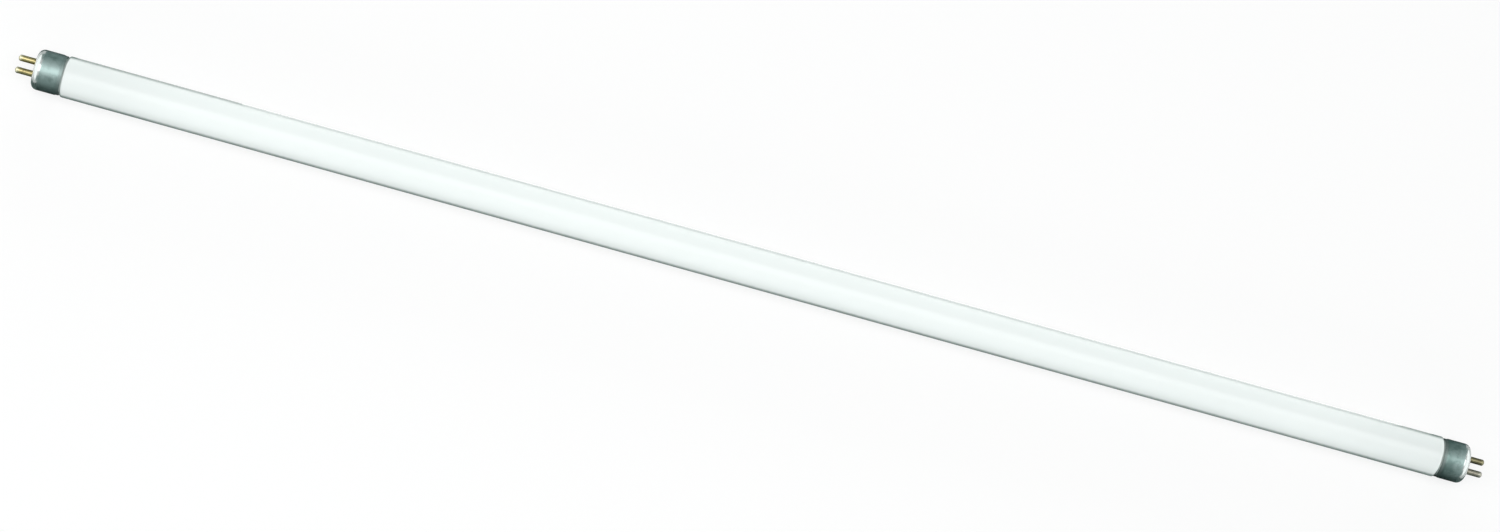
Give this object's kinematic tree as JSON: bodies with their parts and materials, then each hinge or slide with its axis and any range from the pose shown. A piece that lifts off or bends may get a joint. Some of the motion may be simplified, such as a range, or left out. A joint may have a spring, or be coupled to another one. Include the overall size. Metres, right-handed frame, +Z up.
{
  "type": "fluorescent tube",
  "caption": "Straight fluorescent lamp: a sealed white glass tube with an aluminium cap and a pair of brass contact pins at each end.",
  "frame": {"origin": "on the lamp's axis, midway between the two cap faces", "axes": "+X along the lamp to its right end; +Y across it, in the plane of the pins; +Z up, away from the surface it lies on"},
  "size_m": [0.5626, 0.0154, 0.0154],
  "materials": {
    "coated_glass": "gloss outside, white powder coat on the inner wall",
    "cap_aluminium": "drawn, satin",
    "insulator": "matte moulded",
    "cement": "matte, cured",
    "pin_brass": "drawn, semi-gloss",
    "lead_wire": "drawn wire"
  },
  "bodies": {
    "root": {"glass_tube": "coated_glass", "left_cap_shell": "cap_aluminium", "left_insulator": "insulator", "left_cement_ring": "cement", "left_front_pin": "pin_brass", "left_rear_pin": "pin_brass", "left_front_lead": "lead_wire", "left_rear_lead": "lead_wire", "right_cap_shell": "cap_aluminium", "right_insulator": "insulator", "right_cement_ring": "cement", "right_front_pin": "pin_brass", "right_rear_pin": "pin_brass", "right_front_lead": "lead_wire", "right_rear_lead": "lead_wire"}
  },
  "joints": []
}
